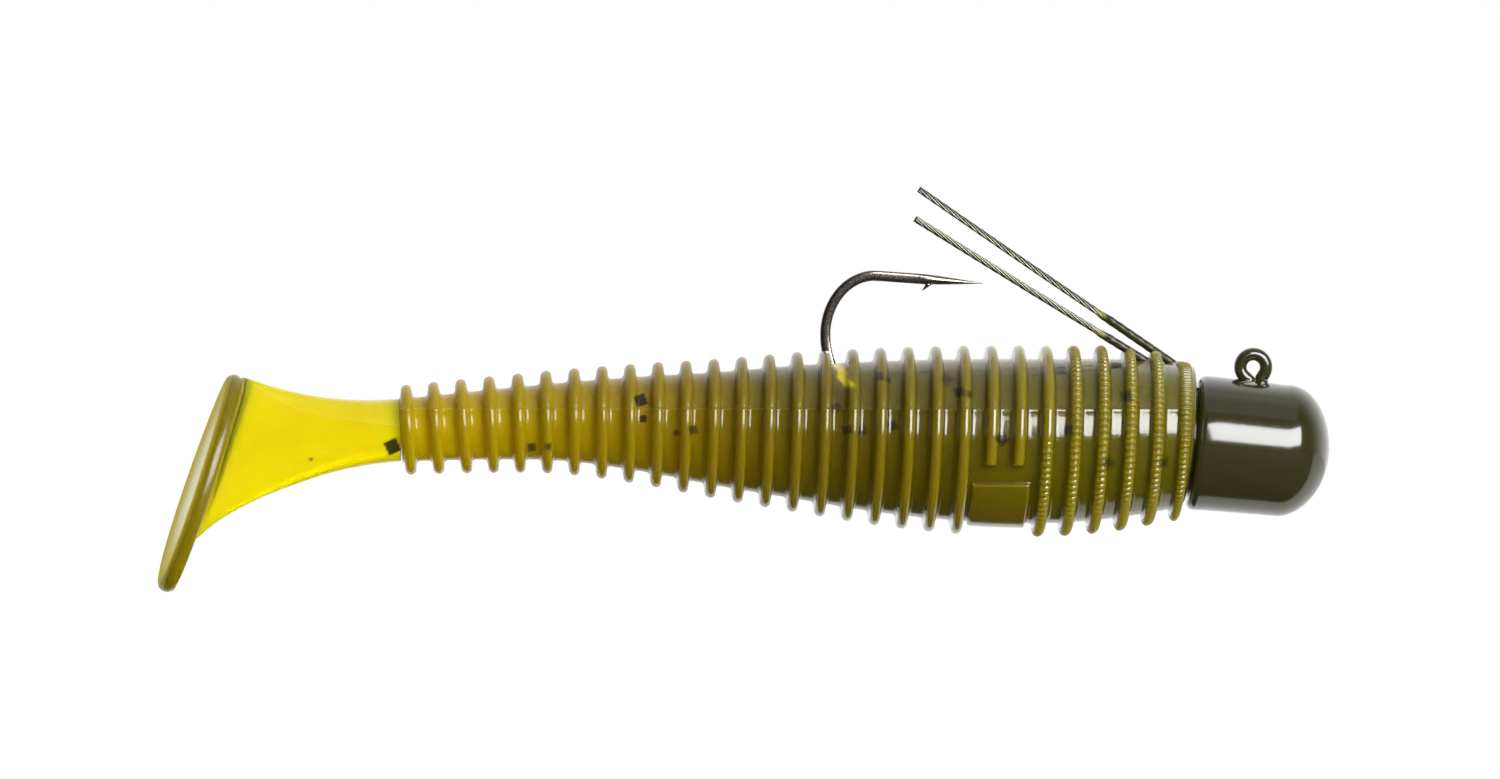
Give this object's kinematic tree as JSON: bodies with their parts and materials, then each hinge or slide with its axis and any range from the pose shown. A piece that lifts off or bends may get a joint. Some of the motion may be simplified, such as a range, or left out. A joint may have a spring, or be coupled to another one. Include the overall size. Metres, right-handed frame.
{
  "type": "soft plastic swimbait on a guarded jig head",
  "caption": "Ribbed paddle-tail soft swimbait rigged on a painted bullet jig head, with a forged hook and stranded wire weed guards; body, tail and guards flex.",
  "frame": {"origin": "centre of the line-tie eye", "axes": "+X to the nose, +Z to the back on the hook-point side, +Y to the lure's left"},
  "size_m": [0.0865, 0.014, 0.0298],
  "materials": {
    "painted_head": "gloss enamel over cast lead",
    "hook_steel": "black nickel plate on forged wire",
    "guard_steel": "stranded stainless wire",
    "guard_paint": "dipped enamel",
    "soft_plastic_front": "glossy translucent soft plastic, dark olive",
    "soft_plastic_rear": "glossy translucent soft plastic, yellow olive",
    "soft_plastic_tail": "glossy translucent soft plastic, bright yellow",
    "glitter": "black film flake"
  },
  "bodies": {
    "head": {"head_casting": "painted_head", "hook": "hook_steel", "body_front": "soft_plastic_front", "body_flex": "soft_plastic_front", "glitter_front": "glitter", "guard_left_root": "guard_steel", "guard_left_sleeve": "guard_paint", "guard_right_root": "guard_steel", "guard_right_sleeve": "guard_paint"},
    "rear_body": {"body_rear": "soft_plastic_rear", "stalk_flex": "soft_plastic_tail", "glitter_rear": "glitter"},
    "tail": {"tail_fin": "soft_plastic_tail", "tail_paddle": "soft_plastic_tail"},
    "guard_left": {"guard_left_core": "guard_steel", "guard_left_strands": "guard_steel"},
    "guard_right": {"guard_right_core": "guard_steel", "guard_right_strands": "guard_steel"}
  },
  "joints": [
    {"name": "body_sway", "type": "hinge", "parent": "head", "child": "rear_body", "pos_m": [-0.04428, 0, -0.0042], "axis": [0, 0, 1], "range_deg": [-25, 25], "stiffness_Nm_per_rad": 0.004, "deforming": ["body_flex"]},
    {"name": "tail_kick", "type": "hinge", "parent": "rear_body", "child": "tail", "pos_m": [-0.0657, 0, -0.0048], "axis": [0, 0, 1], "range_deg": [-45, 45], "stiffness_Nm_per_rad": 0.001, "deforming": ["stalk_flex"]},
    {"name": "guard_left_flex", "type": "hinge", "parent": "head", "child": "guard_left", "pos_m": [-0.01106, 0.00134, 0.00357], "axis": [0, -1, 0], "range_deg": [-10, 20], "stiffness_Nm_per_rad": 0.004},
    {"name": "guard_right_flex", "type": "hinge", "parent": "head", "child": "guard_right", "pos_m": [-0.0114, -0.00137, 0.00248], "axis": [0, -1, 0], "range_deg": [-10, 20], "stiffness_Nm_per_rad": 0.004}
  ]
}
